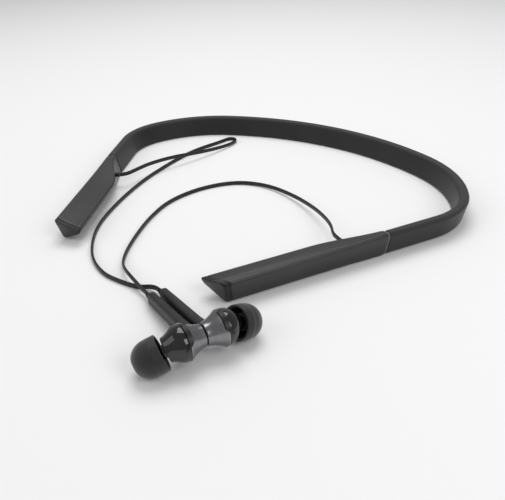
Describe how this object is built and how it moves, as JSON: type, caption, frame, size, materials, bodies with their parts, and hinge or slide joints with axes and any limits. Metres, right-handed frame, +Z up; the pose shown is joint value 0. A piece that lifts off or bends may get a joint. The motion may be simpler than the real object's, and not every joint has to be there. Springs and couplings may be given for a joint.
{
  "type": "neckband earphones",
  "caption": "Wireless neckband earphones: a springy U-shaped band with flared end pods, flat cords and two magnet-clasped earbuds on stems.",
  "frame": {"origin": "centre of the resting footprint, on the table under the band", "axes": "+Z up, +Y from the pod tips to the nape of the neck, +X to the wearer's right arm with the control keys"},
  "size_m": [0.1942, 0.2095, 0.0157],
  "materials": {
    "soft_band": "matte soft-touch",
    "core_steel": "bright wire",
    "harness_sleeve": "woven wire bundle",
    "pod_plastic": "soft-touch coat",
    "cap_plastic": "smooth satin",
    "collar_plastic": "satin",
    "gland_rubber": "matte",
    "cord_jacket": "satin flat jacket",
    "shell_metal": "satin dark anodised",
    "dome_gloss": "polished",
    "rib_rubber": "knurled",
    "magnet_nickel": "nickel plated",
    "driver_metal": "plated",
    "mesh_steel": "woven mesh",
    "ear_silicone": "moulded silicone",
    "stem_plastic": "satin",
    "board_green": "solder mask",
    "shield_tin": "tinned",
    "switch_black": "moulded",
    "light_clear": "clear",
    "port_steel": "drawn shell",
    "cell_wrap": "shrink sleeve",
    "button_rubber": "matte"
  },
  "bodies": {
    "neckband": {"nape_band_skin": "soft_band", "nape_core_wire": "core_steel", "nape_harness": "harness_sleeve", "right_cord": "cord_jacket", "left_cord": "cord_jacket"},
    "right_arm": {"right_band_skin": "soft_band", "right_core_wire": "core_steel", "right_harness": "harness_sleeve", "right_collar": "collar_plastic", "right_pod_shell": "pod_plastic", "right_pod_base": "pod_plastic", "right_end_cap": "cap_plastic", "right_cord_gland": "gland_rubber", "main_board": "board_green", "radio_shield": "shield_tin", "tact_switches": "switch_black", "microphone": "shield_tin", "light_pipe": "light_clear", "charging_port": "port_steel"},
    "left_arm": {"left_band_skin": "soft_band", "left_core_wire": "core_steel", "left_harness": "harness_sleeve", "left_collar": "collar_plastic", "left_pod_shell": "pod_plastic", "left_pod_base": "pod_plastic", "left_end_cap": "cap_plastic", "left_cord_gland": "gland_rubber", "battery_cell": "cell_wrap", "protection_board": "board_green", "power_switch": "switch_black"},
    "right_earbud": {"right_back_shell": "shell_metal", "right_front_housing": "dome_gloss", "right_lock_rib": "rib_rubber", "right_magnet": "magnet_nickel", "right_driver": "driver_metal", "right_nozzle_mesh": "mesh_steel", "right_ear_tip": "ear_silicone", "right_stem": "stem_plastic", "right_stem_grommet": "gland_rubber"},
    "left_earbud": {"left_back_shell": "shell_metal", "left_front_housing": "dome_gloss", "left_lock_rib": "rib_rubber", "left_magnet": "magnet_nickel", "left_driver": "driver_metal", "left_nozzle_mesh": "mesh_steel", "left_ear_tip": "ear_silicone", "left_stem": "stem_plastic", "left_stem_grommet": "gland_rubber"},
    "volume_up_key": {"volume_up_button": "button_rubber"},
    "multifunction_key": {"multifunction_button": "button_rubber"},
    "volume_down_key": {"volume_down_button": "button_rubber"},
    "power_key": {"power_button": "button_rubber"}
  },
  "joints": [
    {"name": "right_arm_flex", "type": "hinge", "parent": "neckband", "child": "right_arm", "pos_m": [0.06395, 0.09083, 0.0054], "axis": [0, 0, 1], "range_deg": [0, 12], "stiffness_Nm_per_rad": 0.6, "deforming": ["right_cord"]},
    {"name": "left_arm_flex", "type": "hinge", "parent": "neckband", "child": "left_arm", "pos_m": [-0.06395, 0.09083, 0.0054], "axis": [0, 0, -1], "range_deg": [0, 12], "stiffness_Nm_per_rad": 0.6, "deforming": ["left_cord"]},
    {"name": "right_earbud_swing", "type": "hinge", "parent": "neckband", "child": "right_earbud", "pos_m": [0.01883, -0.07022, 0.0025], "axis": [0, 0, -1], "range_deg": [0, 30], "deforming": ["right_cord"]},
    {"name": "left_earbud_lift", "type": "hinge", "parent": "neckband", "child": "left_earbud", "pos_m": [0.02071, -0.06581, 0.00243], "axis": [-0.3907, -0.9204, 0.014], "range_deg": [0, 30], "deforming": ["left_cord"]},
    {"name": "volume_up_press", "type": "slide", "parent": "right_arm", "child": "volume_up_key", "axis": [0.4138, -0.2247, 0.8822], "range_m": [0, 0.0003], "stiffness_N_per_m": 800},
    {"name": "multifunction_press", "type": "slide", "parent": "right_arm", "child": "multifunction_key", "axis": [0.4138, -0.2247, 0.8822], "range_m": [0, 0.0003], "stiffness_N_per_m": 800},
    {"name": "volume_down_press", "type": "slide", "parent": "right_arm", "child": "volume_down_key", "axis": [0.4138, -0.2247, 0.8822], "range_m": [0, 0.0003], "stiffness_N_per_m": 800},
    {"name": "power_press", "type": "slide", "parent": "left_arm", "child": "power_key", "axis": [-0.4069, -0.2209, 0.8863], "range_m": [0, 0.0003], "stiffness_N_per_m": 800}
  ]
}
